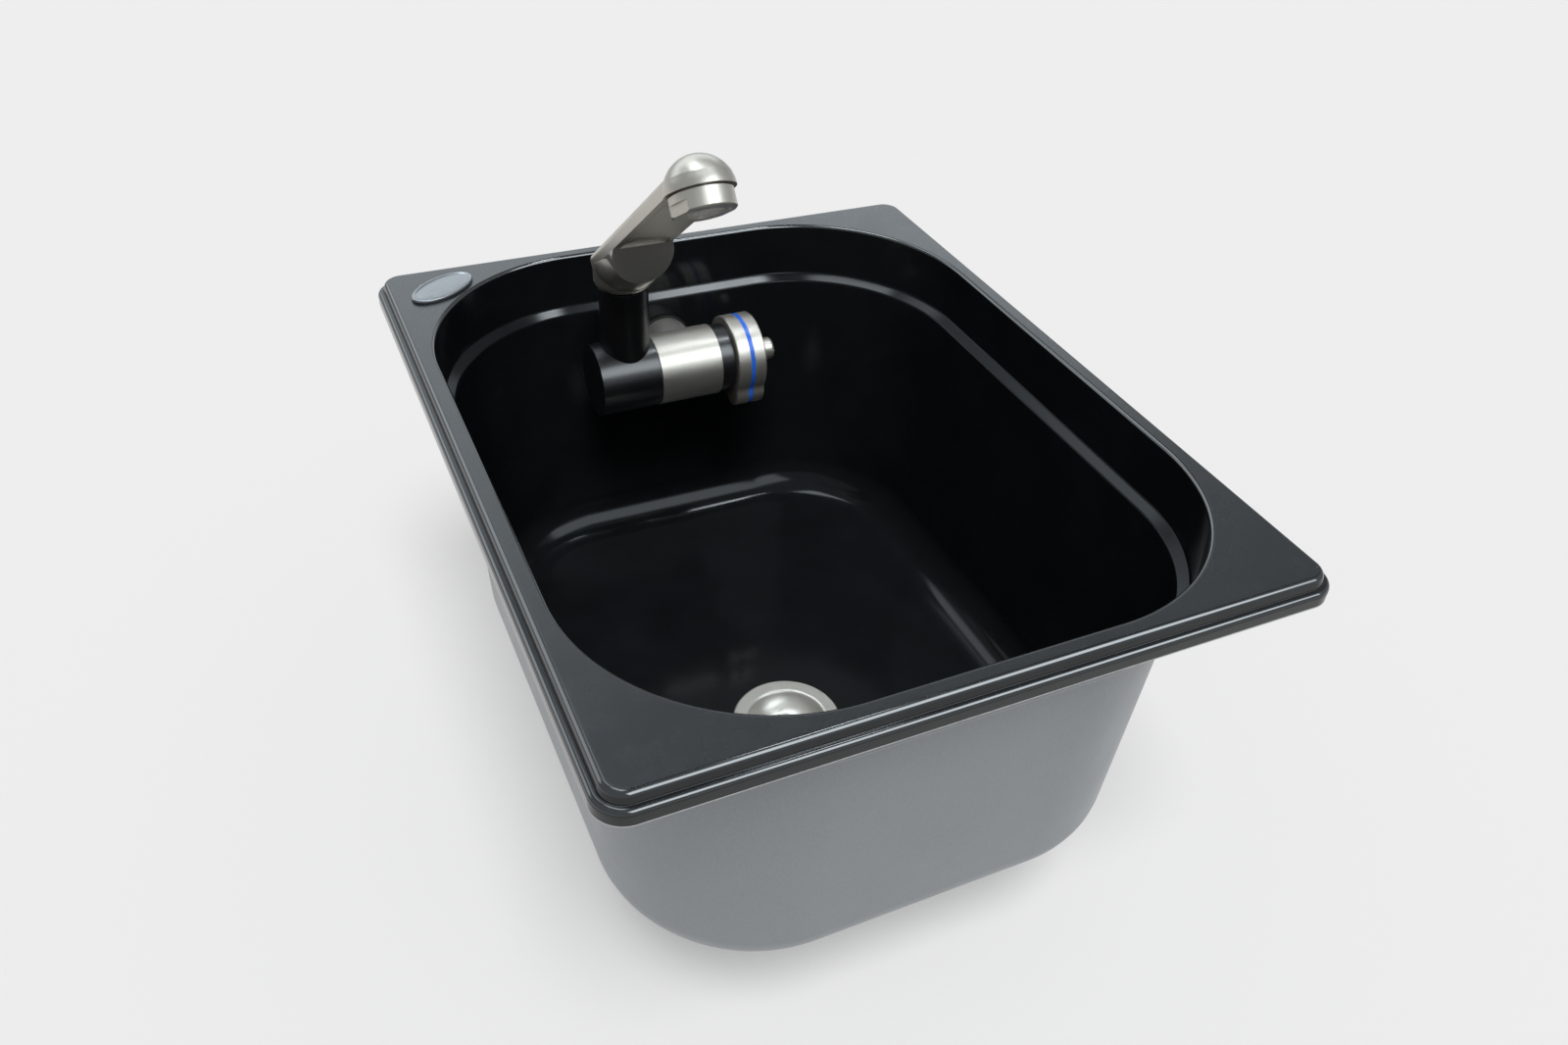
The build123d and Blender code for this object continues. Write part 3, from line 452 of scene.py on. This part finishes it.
def grey_coat(tone):
    """Thin satin coat on the back of rolled steel: grey, with the steel's streaks showing through."""
    material, tree = new_finish("satin grey coat on rolled steel")
    # The real streaks are about 0.2 mm wide and are drawn at 0.7 mm to show at this distance.
    streaks = grain(tree, 0.7 * MM, stretch=(1, 1, 2.5), detail=2.0)
    clouds = grain(tree, 40 * MM)
    surface(
        tree,
        tone,
        depth=0.843,
        tint=streaks,
        rough=0.34,
        spread=0.04,
        haze=clouds,
        relief=streaks,
        rise=0.003 * MM,
        IOR=2.0,
    )
    return material


def brushed_metal(name, tone, depth, scratch, stretch, rough, turn=(0, 0, 0)):
    """Brushed metal: scratches along the stretched axes draw highlights out, and handling dulls them."""
    material, tree = new_finish(name)
    # Real scratches are some hundredths of a millimetre wide and are drawn coarser to show in the render.
    scratches = grain(tree, scratch, stretch=stretch, detail=4.0, turn=turn)
    handling = grain(tree, 12 * MM)
    dulling = add(tree, "Mix", 0.5, A=scratches, B=handling)
    # The scratches scatter a part of the light evenly, so the metal isn't a full mirror.
    surface(
        tree,
        tone,
        depth,
        tint=scratches,
        rough=rough,
        spread=0.055,
        haze=dulling.outputs[0],
        relief=scratches,
        rise=0.0006 * MM,
        edge=WORN_EDGE,
        Metallic=0.86,
    )
    return material


def turned_metal(name, tone, depth, centre, rough):
    """Metal turned on a lathe: rings about an upright axis spread the highlight round the piece."""
    material, tree = new_finish(name)
    coordinates = add(tree, "TexCoord").outputs["Object"]
    centred = add(tree, "Mapping", coordinates, Location=[-place for place in centre])
    # The real rings are about 0.1 mm apart and are drawn at 0.5 mm to show at this distance.
    rings = add(
        tree,
        "TexWave",
        centred.outputs[0],
        settings={"wave_type": "RINGS", "rings_direction": "Z"},
        Scale=WAVE_PITCH / (0.5 * MM),
        Distortion=1.5,
        Detail=3.0,
    ).outputs["Fac"]
    # The rings scatter a part of the light evenly, so the metal isn't a full mirror.
    surface(
        tree,
        tone,
        depth,
        tint=rings,
        rough=rough,
        spread=0.04,
        haze=rings,
        relief=rings,
        rise=0.0015 * MM,
        edge=WORN_EDGE,
        Metallic=0.6,
    )
    return material


def moulded(name, tone, depth, rough, gloss=0.0):
    """Plastic, rubber or ceramic from a mould: the faint sparkle of its texture under an even sheen."""
    material, tree = new_finish(name)
    # The mould's real texture is about 0.1 mm across and is drawn at 0.6 mm to show at this distance.
    texture = grain(tree, 0.6 * MM, detail=2.0)
    flow = grain(tree, 15 * MM)
    surface(
        tree,
        tone,
        depth,
        tint=flow,
        rough=rough,
        spread=0.05,
        haze=texture,
        relief=texture,
        rise=0.002 * MM,
        edge=WORN_EDGE,
        Coat_Weight=gloss,
        Coat_Roughness=0.22,
        Coat_IOR=1.5,
    )
    return material


# Pieces

# Material slots of the basin's upper face; the last is the pale band of painted edge highlight. The back's
# slots follow them in the same order.
BOWL, FLANGE, RIM, BENDS, EDGE_HIGHLIGHT = range(5)
# Upright share of the normal on a face that counts as bent, from and to, and on one that counts as flat.
BENT_FROM = 0.4
BENT_TO = 0.93
FLAT_FROM = 0.98


class CAMPSINK_OT_basin(bpy.types.Operator):
    """Presses the basin from one sheet, coated black above and grey below"""

    bl_idname = "campsink.basin"
    bl_label = "Basin"

    def execute(self, context):
        size = context.scene.campsink_basin
        paint = context.scene.campsink_finish
        low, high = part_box("basin")
        floor = low.z + size.sheet
        bm = bmesh.new()
        self.draw_rim(bm, size, high)
        self.draw_bowl(bm, size, high.z, floor)
        self.fill_flats(bm, size, high.z, floor)
        self.face_up(bm)
        self.share_out_coats(bm, size, high.z)
        # The rim's bends reflect more than the rest of it, which draws bright lines along them. A band of
        # pale steel along the skirt's bottom edge is a painted highlight line.
        trimmed = brushed_metal(
            "pale steel of the painted edge highlight",
            paint.trim,
            depth=0.588,
            scratch=0.3 * MM,
            stretch=(6, 6, 1),
            rough=0.3,
        )
        coats = {
            BOWL: gloss_coat(paint.bowl),
            FLANGE: satin_coat(paint.flange),
            RIM: rim_coat("rim", paint.rim, index=1.45),
            BENDS: rim_coat("bends", paint.rim, index=2.0),
            EDGE_HIGHLIGHT: trimmed,
        }
        backs = [grey_coat(paint.back)] * len(coats)
        both_faces = [*coats.values(), *backs]
        piece = finish_piece(bm, "pressed_basin", "sink", "coated_steel", both_faces, "basin")
        sheet = piece.modifiers.new("sheet", "SOLIDIFY")
        sheet.thickness = size.sheet
        sheet.offset = -1
        sheet.use_even_offset = True
        sheet.material_offset = len(coats)
        sheet.material_offset_rim = len(coats)
        piece.modifiers.new("even shading", "WEIGHTED_NORMAL").keep_sharp = True
        return {"FINISHED"}

    def draw_rim(self, bm, size, high):
        """The stepped rim, from the flange over the step and the ledge down to the skirt's edge."""
        flat = size.rim_corner - size.step_inset
        ledge = high.z - size.step_drop
        points = [
            (flat - FLAT_BEYOND_BEND * size.step_round, high.z),
            (flat, high.z),
            (flat + size.step_slope, ledge),
            (size.rim_corner, ledge),
            (size.rim_corner, size.highlight_band),
            (size.rim_corner, 0),
        ]
        rounds = {1: size.step_round, 2: size.crease_round, 3: size.edge_round}
        rounded_wire(bm, points, rounds, size.bend_steps)
        carry_round(bm, high.x - size.rim_corner, high.y - size.rim_corner, size.corner_steps, RIM)

    def draw_bowl(self, bm, size, top, floor):
        """The bowl, from the lip over the stacking shoulder down to the floor."""
        mouth = size.opening_corner
        upper_foot = mouth - size.upper_taper
        wall_top = upper_foot - size.shoulder_step
        wall_foot = wall_top - size.lower_taper
        shoulder = top - size.shoulder_depth
        points = [
            (mouth + FLAT_BEYOND_BEND * size.lip_round, top),
            (mouth, top),
            (upper_foot, shoulder),
            (wall_top, shoulder - size.shoulder_drop),
            (wall_foot, floor),
            (wall_foot - size.floor_round - size.floor_margin, floor),
        ]
        rounds = {1: size.lip_round, 2: size.shoulder_round, 3: size.shoulder_round, 4: size.floor_round}
        rounded_wire(bm, points, rounds, size.bend_steps)
        half_width = size.opening_width / 2 - mouth
        half_length = size.opening_length / 2 - mouth
        carry_round(bm, half_width, half_length, size.corner_steps, BOWL)

    def fill_flats(self, bm, size, top, floor):
        """The flange between rim and bowl, and the floor round the hole for the waste."""
        bmesh.ops.triangle_fill(bm, edges=open_edges(bm, top), use_beauty=True, normal=(0, 0, 1))
        low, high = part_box("drain_strainer")
        drain = (low + high) / 2
        drain.z = floor
        hole = bmesh.ops.create_circle(
            bm,
            segments=4 * (size.corner_steps + 1),
            radius=size.drain_hole,
            matrix=Matrix.Translation(drain),
        )
        edges = open_edges(bm, floor)
        edges += {edge for vert in hole["verts"] for edge in vert.link_edges}
        bmesh.ops.triangle_fill(bm, edges=edges, use_beauty=True, normal=(0, 0, 1))

    def face_up(self, bm):
        """Turns the faces so that the bowl's floor looks up, and keeps the sheet's open edges sharp."""
        bmesh.ops.recalc_face_normals(bm, faces=bm.faces[:])
        lowest = min(bm.faces, key=lambda face: face.calc_center_median().z)
        if lowest.normal.z < 0:
            bmesh.ops.reverse_faces(bm, faces=bm.faces[:])
        for edge in bm.edges:
            edge.smooth = not edge.is_boundary

    def share_out_coats(self, bm, size, top):
        """Gives the flange and the bends of rim and lip their own coats, and paints a highlight line in
        pale steel along the skirt's trimmed edge.
        """
        ledge = top - size.step_drop
        for face in bm.faces:
            height = face.calc_center_median().z
            on_bend = height > top - size.step_round or ledge - size.edge_round < height < ledge
            if on_bend and BENT_FROM < face.normal.z < BENT_TO:
                face.material_index = BENDS
            elif face.normal.z > FLAT_FROM and height > top - size.crease_round:
                face.material_index = FLANGE
            # The bottom of the skirt gets pale steel as a painted highlight line.
            elif 0 < height < size.highlight_band:
                face.material_index = EDGE_HIGHLIGHT


class CAMPSINK_OT_plate(bpy.types.Operator):
    """Makes the blank oval plate with its raised border and swelling field"""

    bl_idname = "campsink.plate"
    bl_label = "Oval plate"

    def execute(self, context):
        size = context.scene.campsink_plate
        paint = context.scene.campsink_finish
        low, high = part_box("oval_plate")
        bm = bmesh.new()
        profile = self.profile(size, high.z - low.z)
        stacked_rings(bm, size.long_side / 2, size.short_side / 2, profile, size.facets)
        place = (low + high) / 2
        place.z = low.z
        turned = Matrix.Translation(place) @ Matrix.Rotation(size.turn, 4, "Z")
        bmesh.ops.transform(bm, matrix=turned, verts=bm.verts[:])
        # Stamped aluminium with a satin brush along the oval: an even, quiet silver.
        silver = brushed_metal(
            "satin aluminium",
            paint.plate,
            depth=0.641,
            scratch=0.25 * MM,
            stretch=(24, 1, 1),
            rough=0.34,
            turn=(0, 0, size.turn),
        )
        finish_piece(bm, "blank_oval_plate", "sink", "dark_plate", [silver], "oval_plate")
        return {"FINISHED"}

    def profile(self, size, rise):
        """(inset, height) steps up the side, over the rounded edge and the border, and across the field."""
        steps = [(0, 0), (0, rise - size.edge_round)]
        for step in range(1, size.edge_steps + 1):
            turn = math.pi / 2 * step / size.edge_steps
            inset = size.edge_round * (1 - math.cos(turn))
            steps.append((inset, rise - size.edge_round * (1 - math.sin(turn))))
        field_edge = size.border + size.sink
        steps += [(size.border, rise), (field_edge, rise - size.sink)]
        for step in range(1, size.field_steps):
            part = step / size.field_steps
            inset = field_edge + part * (size.short_side / 2 - field_edge)
            steps.append((inset, rise - size.sink + size.crown * math.sin(math.pi / 2 * part)))
        return steps


class CAMPSINK_OT_waste(bpy.types.Operator):
    """Finishes the waste fitting: turned strainer and screw, black outlet body"""

    bl_idname = "campsink.waste"
    bl_label = "Waste fitting"

    def execute(self, context):
        paint = context.scene.campsink_finish
        low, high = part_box("drain_strainer")
        # Turned stainless steel: bright, with a soft sheen all round the flange.
        bright = turned_metal(
            "turned stainless steel",
            paint.waste,
            depth=0.838,
            centre=(low + high) / 2,
            rough=0.34,
        )
        dress(bright, "drain_strainer", "drain_screw")
        # Moulded polypropylene: an even black with a soft sheen.
        black = moulded("moulded polypropylene", paint.outlet, depth=0.57, rough=0.32)
        dress(black, "drain_body")
        return {"FINISHED"}


class CAMPSINK_OT_tap_metal(bpy.types.Operator):
    """Finishes the tap's brushed pieces and its wall stud"""

    bl_idname = "campsink.tap_metal"
    bl_label = "Tap metalwork"

    def execute(self, context):
        paint = context.scene.campsink_finish
        # Nickel plate brushed round the axis: warm silver with soft streaks along the piece.
        around = brushed_metal(
            "brushed nickel plate",
            paint.nickel,
            depth=0.88,
            scratch=0.14 * MM,
            stretch=(1, 40, 40),
            rough=0.4,
        )
        dress(around, "body_sleeve", "knob", "knob_cap", "aerator_housing")
        # Nickel plate with a satin brush: warm silver with an even glow.
        satin = brushed_metal(
            "satin nickel plate",
            paint.satin_nickel,
            depth=0.856,
            scratch=0.16 * MM,
            stretch=(1, 3, 3),
            rough=0.36,
        )
        dress(satin, "spout", "spout_underplate")
        # Machined stainless steel: a plain dull silver with tool marks round the stud.
        machined = brushed_metal(
            "machined stainless steel",
            paint.steel,
            depth=0.806,
            scratch=0.3 * MM,
            stretch=(30, 1, 30),
            rough=0.42,
        )
        dress(machined, "wall_stud", "backing_washer", "knob_screw", "swivel_stop_pin")
        return {"FINISHED"}


class CAMPSINK_OT_tap_plastics(bpy.types.Operator):
    """Finishes the tap's black elbow and collar, the knob's blue ring and the white inserts"""

    bl_idname = "campsink.tap_plastics"
    bl_label = "Tap plastics"

    def execute(self, context):
        paint = context.scene.campsink_finish
        # Moulded nylon with a polished skin: black with soft bright streaks.
        black = moulded("moulded black nylon", paint.elbow, depth=0.64, rough=0.34, gloss=0.7)
        dress(black, "elbow", "elbow_cap", "collar_ring")
        # Moulded ABS, coloured through: a clear even blue.
        dress(moulded("moulded blue ABS", paint.ring, depth=0.8, rough=0.25), "knob_ring")
        # Moulded acetal: a matt milky white.
        white = moulded("moulded white acetal", paint.insert, depth=0.865, rough=0.45)
        dress(white, "aerator_insert", "cartridge_shell")
        return {"FINISHED"}


class CAMPSINK_OT_inner_pieces(bpy.types.Operator):
    """Finishes the seals, brass and ceramic discs inside the tap and the waste"""

    bl_idname = "campsink.inner_pieces"
    bl_label = "Seals, brass and discs"

    def execute(self, context):
        paint = context.scene.campsink_finish
        # Moulded EPDM rubber: a dull black.
        rubber = moulded("moulded EPDM rubber", paint.rubber, depth=0.561, rough=0.7)
        seals = [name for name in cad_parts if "seal" in name or "oring" in name or "gasket" in name]
        dress(rubber, *seals)
        # Machined brass: yellow, with tool marks round the tap's axis.
        brass = brushed_metal(
            "machined brass",
            paint.brass,
            depth=0.62,
            scratch=0.3 * MM,
            stretch=(1, 30, 30),
            rough=0.28,
        )
        dress(brass, "valve_body", "spindle", "fold_nut", "spout_stem", "lock_nut", "drain_insert")
        # Lapped alumina ceramic: a smooth creamy white.
        ceramic = moulded("lapped alumina ceramic", paint.ceramic, depth=0.88, rough=0.2)
        dress(ceramic, "fixed_disc", "turning_disc")
        return {"FINISHED"}


# Stage

# Width of the camera's frame in millimetres.
SENSOR_WIDTH = 36
# Smallest depth to divide by, which also keeps a panel out of the half of the room behind it.
LEAST_DEPTH = 0.001

# A soft panel that shows in reflections: its turn from straight ahead towards the right and its height in
# degrees, its half width and half height as tangents, and the softness of its edge and its strength.
LightPanel = namedtuple("LightPanel", "turn height half_width half_height softness strength")
LIGHT_PANELS = (
    # Wide and low ahead: greys the flange, most of all at the rear.
    LightPanel(-5, 28, 1.0, 0.25, 0.1, 1.4),
    # In front to the right: the streak along the tap's sleeve and collar.
    LightPanel(152, 45, 0.45, 0.24, 0.06, 5.0),
    # Small, bright and high on the right: the bar on the rear shoulder.
    LightPanel(84, 70.2, 0.05, 0.055, 0.01, 30.0),
    # Narrow and nearly overhead: the bar round the rear right corner's shoulder.
    LightPanel(-19, 77.5, 0.11, 0.2, 0.03, 10.0),
    # High ahead: the line along the floor's right-hand bend.
    LightPanel(-12, 55, 0.16, 0.14, 0.08, 3.6),
)


def towards(turn, height):
    """The direction that lies turn to the right of straight ahead and height above the horizon."""
    return Vector((math.sin(turn) * math.cos(height), math.cos(turn) * math.cos(height), math.sin(height)))


def panel_light(tree, direction, panel):
    """The light of one far rectangular panel, by the direction that is looked in."""
    turn = math.radians(panel.turn)
    ahead = towards(turn, math.radians(panel.height))
    right = Vector((math.cos(turn), -math.sin(turn), 0))
    up = right.cross(ahead)
    along = {"operation": "DOT_PRODUCT"}
    depth = add(tree, "VectorMath", direction, ahead, settings=along).outputs["Value"]
    depth = add(tree, "Math", depth, LEAST_DEPTH, settings={"operation": "MAXIMUM"}).outputs[0]
    light = panel.strength
    for axis, half in ((right, panel.half_width), (up, panel.half_height)):
        offset = add(tree, "VectorMath", direction, axis, settings=along).outputs["Value"]
        offset = add(tree, "Math", offset, depth, settings={"operation": "DIVIDE"}).outputs[0]
        offset = add(tree, "Math", offset, settings={"operation": "ABSOLUTE"}).outputs[0]
        inside = add(
            tree,
            "MapRange",
            offset,
            half + panel.softness,
            half - panel.softness,
            0.0,
            1.0,
            settings={"interpolation_type": "SMOOTHSTEP"},
        )
        light = add(tree, "Math", inside.outputs[0], light, settings={"operation": "MULTIPLY"}).outputs[0]
    return light


def seen_by(tree, *kinds):
    """1 for rays of those kinds and 0 for all others."""
    path = add(tree, "LightPath").outputs
    seen = path[kinds[0]]
    for kind in kinds[1:]:
        seen = add(tree, "Math", seen, path[kind], settings={"operation": "MAXIMUM"}).outputs[0]
    return seen


class CAMPSINK_OT_stage(bpy.types.Operator):
    """Sets up the pale floor, the soft studio light and the camera"""

    bl_idname = "campsink.stage"
    bl_label = "Stage"

    def execute(self, context):
        size = context.scene.campsink_stage
        self.make_floor(size)
        self.make_world(size)
        self.make_lamp(size)
        self.make_camera(size)
        context.scene.view_settings.view_transform = "Standard"
        return {"FINISHED"}

    def make_floor(self, size):
        """A pale floor just under the waste's outlet."""
        bm = bmesh.new()
        bmesh.ops.create_grid(bm, x_segments=1, y_segments=1, size=size.floor_size / 2)
        outlet_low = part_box("drain_body")[0]
        bmesh.ops.translate(bm, verts=bm.verts[:], vec=(0, 0, outlet_low.z - size.floor_gap))
        material, tree = new_finish("matt studio paper")
        # The paper glows a little to the camera and in reflections, which keeps the shadow pale.
        tone = [*size.backdrop, 1.0]
        paper = add(tree, "BsdfDiffuse", tone)
        glow = add(tree, "Emission", tone, 1.0)
        seen = seen_by(tree, "Is Camera Ray", "Is Glossy Ray", "Is Transmission Ray")
        glowing = add(tree, "Math", seen, size.floor_glow, settings={"operation": "MULTIPLY"})
        mixed = add(tree, "MixShader", glowing.outputs[0], paper.outputs[0], glow.outputs[0])
        add(tree, "OutputMaterial", mixed.outputs[0])
        new_object("studio_floor", new_mesh(bm, "studio_floor", [material]))

    def make_world(self, size):
        """Even light for matt surfaces, soft panels for reflections and a plain background."""
        world = bpy.data.worlds.new("studio")
        bpy.context.scene.world = world
        world.use_nodes = True
        # Matt surfaces get even light from the world, so no map of its bright places is needed.
        world.cycles.sampling_method = "NONE"
        tree = world.node_tree
        tree.nodes.clear()
        direction = add(tree, "TexCoord").outputs["Generated"]
        studio = size.room_light
        for panel in LIGHT_PANELS:
            light = panel_light(tree, direction, panel)
            studio = add(tree, "Math", studio, light, settings={"operation": "ADD"}).outputs[0]
        tinted = add(tree, "VectorMath", size.studio_tint, settings={"operation": "SCALE"}, Scale=studio)
        reflected = seen_by(tree, "Is Glossy Ray")
        seen = seen_by(tree, "Is Camera Ray", "Is Transmission Ray")
        tone = [size.soft_light, size.soft_light, size.soft_light, 1.0]
        for rays, light in ((reflected, tinted.outputs[0]), (seen, [*size.backdrop, 1.0])):
            choice = add(
                tree,
                "Mix",
                rays,
                settings={"data_type": "RGBA"},
                places={MIX_LOW: tone, MIX_HIGH: light},
            )
            tone = choice.outputs[MIX_RESULT]
        background = add(tree, "Background", tone)
        add(tree, "OutputWorld", background.outputs[0])

    def make_lamp(self, size):
        """A broad soft lamp overhead, which lights matt surfaces and leaves the shadow under the rim."""
        data = bpy.data.lights.new("overhead_light", "SUN")
        data.energy = math.pi * (1 - size.soft_light) / math.cos(size.lamp_tilt)
        data.angle = size.lamp_spread
        lamp = new_object("overhead_light", data)
        lamp.rotation_euler = (size.lamp_tilt, 0, -size.lamp_turn)
        lamp.visible_glossy = False

    def make_camera(self, size):
        """The camera at the photograph's viewing angle."""
        back = towards(size.turn + math.pi, size.height)
        level = Vector((0, 0, 1)).cross(back).normalized()
        right = Matrix.Rotation(size.roll, 3, back) @ level
        axes = Matrix((right, back.cross(right), back)).transposed()
        data = bpy.data.cameras.new("camera")
        data.lens = size.lens
        data.sensor_width = SENSOR_WIDTH
        camera = new_object("camera", data)
        place = Vector(size.target) + size.distance * back
        camera.matrix_world = Matrix.Translation(place) @ axes.to_4x4()
        bpy.context.scene.camera = camera


class CAMPSINK_PT_panel(bpy.types.Panel):
    """Lists the settings and the operators that use them"""

    bl_idname = "CAMPSINK_PT_panel"
    bl_label = "Camping sink"
    bl_space_type = "VIEW_3D"
    bl_region_type = "UI"
    bl_category = "Camping sink"

    def draw(self, context):
        for name, group in SETTINGS.items():
            box = self.layout.box()
            for setting in group.__annotations__:
                box.prop(getattr(context.scene, name), setting)
        for operator in OPERATORS:
            self.layout.operator(operator.bl_idname)


OPERATORS = (
    CAMPSINK_OT_basin,
    CAMPSINK_OT_plate,
    CAMPSINK_OT_waste,
    CAMPSINK_OT_tap_metal,
    CAMPSINK_OT_tap_plastics,
    CAMPSINK_OT_inner_pieces,
    CAMPSINK_OT_stage,
)
SETTINGS = {
    "campsink_basin": BasinSettings,
    "campsink_plate": PlateSettings,
    "campsink_finish": FinishSettings,
    "campsink_stage": StageSettings,
}


def register():
    """Registers the settings, the operators and the panel."""
    for name, group in SETTINGS.items():
        bpy.utils.register_class(group)
        setattr(bpy.types.Scene, name, PointerProperty(type=group))
    for operator in OPERATORS:
        bpy.utils.register_class(operator)
    bpy.utils.register_class(CAMPSINK_PT_panel)


def unregister():
    """Takes everything away again."""
    bpy.utils.unregister_class(CAMPSINK_PT_panel)
    for operator in reversed(OPERATORS):
        bpy.utils.unregister_class(operator)
    for name, group in SETTINGS.items():
        delattr(bpy.types.Scene, name)
        bpy.utils.unregister_class(group)


def main():
    """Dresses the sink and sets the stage."""
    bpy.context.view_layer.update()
    register()
    for operator in OPERATORS:
        getattr(bpy.ops.campsink, operator.bl_idname.split(".")[1])()


if __name__ == "__main__":
    main()
